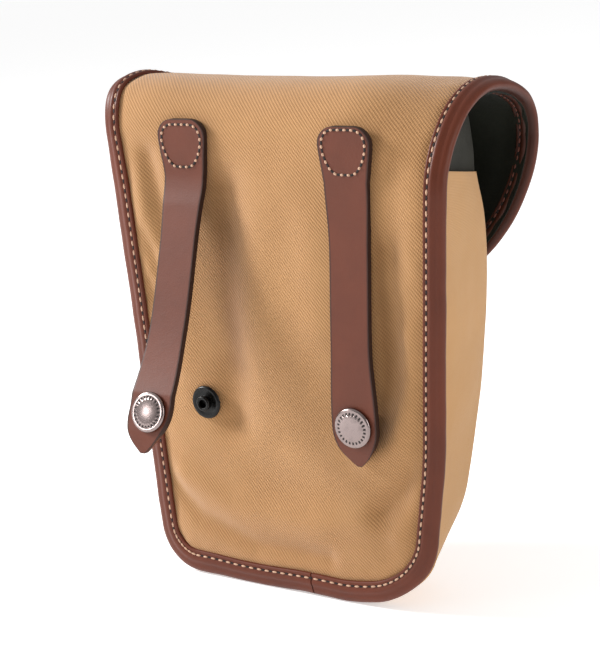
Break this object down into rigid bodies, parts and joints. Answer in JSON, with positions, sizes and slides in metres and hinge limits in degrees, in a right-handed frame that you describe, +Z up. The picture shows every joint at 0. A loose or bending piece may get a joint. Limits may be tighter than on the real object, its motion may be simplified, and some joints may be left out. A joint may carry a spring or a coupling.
{
  "type": "binocular harness pack",
  "caption": "Padded canvas pouch for binoculars with a leather-bound wrap-over flap, a storm ear at each end of its mouth and snap-off belt straps on its back.",
  "frame": {"origin": "middle of the flat base that the pack stands on, level with the floor", "axes": "+Z up the pack; -Y out of the padded back panel that lies against the wearer and carries the belt straps; +Y towards the front that the flap covers; +X to the right when looking at the back panel"},
  "size_m": [0.1554, 0.1163, 0.2033],
  "materials": {
    "canvas": "tan cotton twill with a steep diagonal rib",
    "canvas_smooth": "tan cotton canvas, smoother face",
    "olive_cloth": "dark olive grey cloth",
    "lining_cloth": "very dark olive lining cloth",
    "foam": null,
    "edge_leather": "chestnut leather edge binding, stitched",
    "strap_leather": "chestnut bridle leather with a fine grain",
    "antique_silver": "antique silver plated press stud",
    "black_metal": "gloss black enamelled press stud"
  },
  "bodies": {
    "pack": {"back_panel_cloth": "canvas", "back_panel_foam": "foam", "back_panel_lining": "lining_cloth", "back_binding_left": "edge_leather", "back_binding_right": "edge_leather", "gusset_cloth": "canvas_smooth", "gusset_foam": "foam", "gusset_lining": "lining_cloth", "front_panel_cloth": "canvas_smooth", "front_panel_foam": "foam", "front_panel_lining": "lining_cloth", "storm_ear_left": "olive_cloth", "storm_ear_right": "olive_cloth", "belt_strap_left_anchor": "strap_leather", "belt_strap_right_anchor": "strap_leather", "belt_stud_left": "black_metal", "belt_stud_left_post": "black_metal", "belt_stud_right": "black_metal", "belt_stud_right_post": "black_metal", "closure_stud": "black_metal", "closure_stud_patch": "strap_leather", "closure_stud_post": "black_metal"},
    "flap": {"flap_cloth": "canvas", "flap_foam": "foam", "flap_lining": "lining_cloth", "flap_binding": "edge_leather", "closure_strap_anchor": "strap_leather"},
    "closure_strap": {"closure_strap": "strap_leather", "closure_cap": "antique_silver", "closure_socket": "antique_silver"},
    "belt_strap_left": {"belt_strap_left": "strap_leather", "belt_cap_left": "antique_silver", "belt_socket_left": "antique_silver"},
    "belt_strap_right": {"belt_strap_right": "strap_leather", "belt_cap_right": "antique_silver", "belt_socket_right": "antique_silver"}
  },
  "joints": [
    {"name": "flap_hinge", "type": "hinge", "parent": "pack", "child": "flap", "pos_m": [0, -0.02791, 0.19065], "axis": [1, 0, 0], "range_deg": [0, 120]},
    {"name": "closure_strap_lift", "type": "hinge", "parent": "flap", "child": "closure_strap", "pos_m": [0, 0.0383, 0.1127], "axis": [1, 0, 0], "range_deg": [0, 100]},
    {"name": "belt_strap_left_lift", "type": "hinge", "parent": "pack", "child": "belt_strap_left", "pos_m": [-0.0365, -0.0325, 0.166], "axis": [-1, 0, 0], "range_deg": [-18.5, 75]},
    {"name": "belt_strap_right_lift", "type": "hinge", "parent": "pack", "child": "belt_strap_right", "pos_m": [0.0365, -0.0325, 0.166], "axis": [-1, 0, 0], "range_deg": [0, 93.5]}
  ]
}
